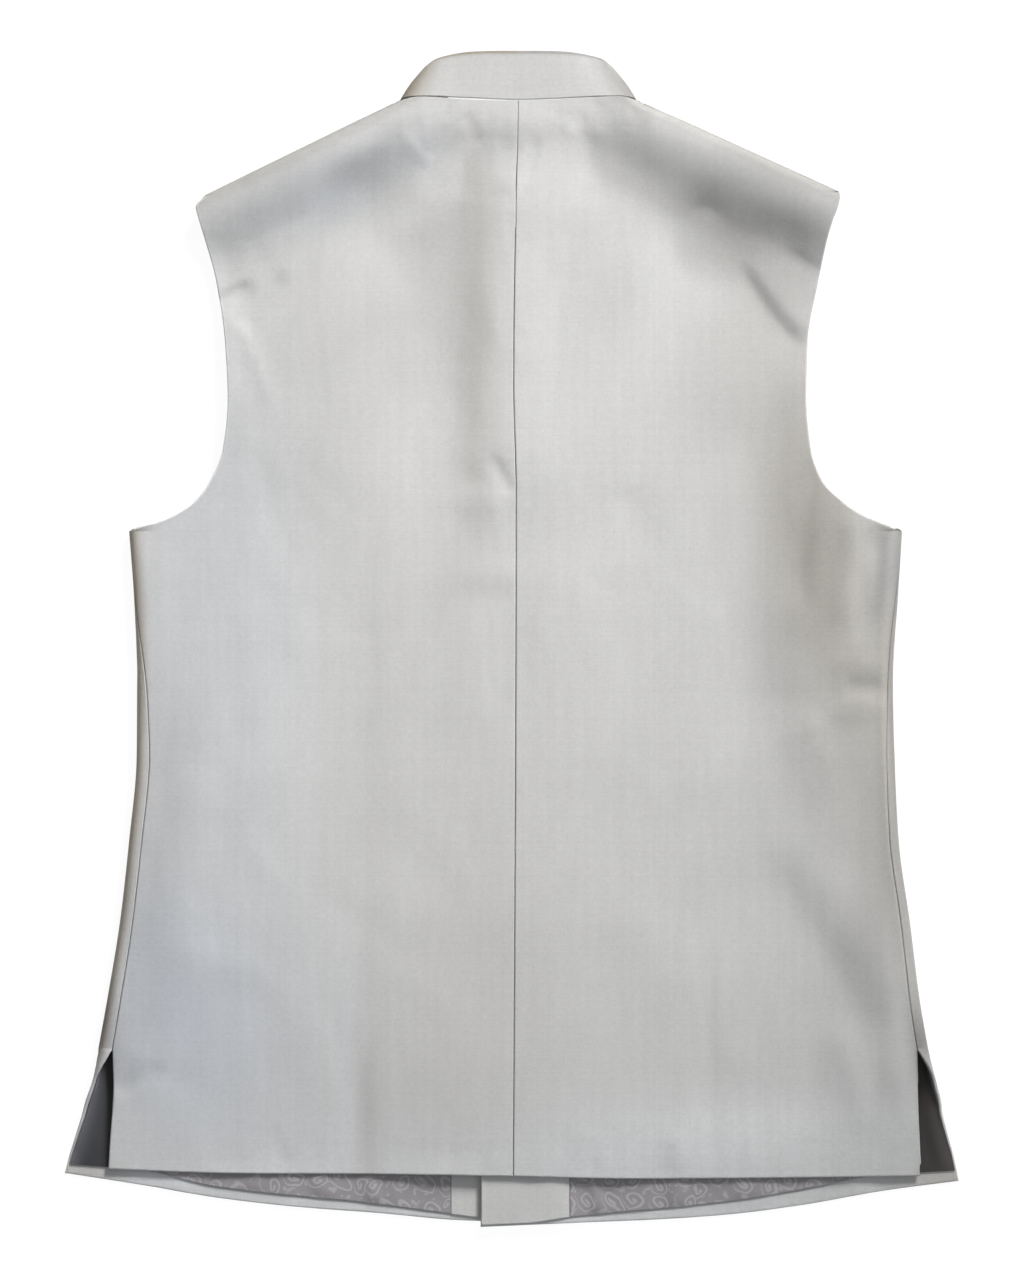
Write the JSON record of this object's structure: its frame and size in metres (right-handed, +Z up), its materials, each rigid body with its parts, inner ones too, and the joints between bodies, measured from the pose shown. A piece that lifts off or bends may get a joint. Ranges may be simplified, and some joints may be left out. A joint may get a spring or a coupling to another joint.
{
  "type": "waistcoat",
  "caption": "Sleeveless waistcoat with a stand collar and side vents, fastened and laid flat with its back up, open at neck, armholes and hem.",
  "frame": {"origin": "centre of the bounding box's bottom face, on the surface the waistcoat lies on", "axes": "+Y from hem to collar, +Z up out of the back of the garment, +X towards the wearer's right side"},
  "size_m": [0.6027, 0.7932, 0.0192],
  "materials": {
    "linen": "slubby plain weave, matte with a faint sheen",
    "lining": "woven scroll pattern, satin",
    "button": "polished horn look"
  },
  "bodies": {
    "root": {"back_left": "linen", "back_right": "linen", "front_left": "linen", "front_right": "linen", "collar": "linen", "facing_left": "linen", "facing_right": "linen", "lining_left": "lining", "lining_right": "lining", "button_1": "button", "button_2": "button", "button_3": "button", "button_4": "button", "button_5": "button", "button_6": "button"}
  },
  "joints": []
}
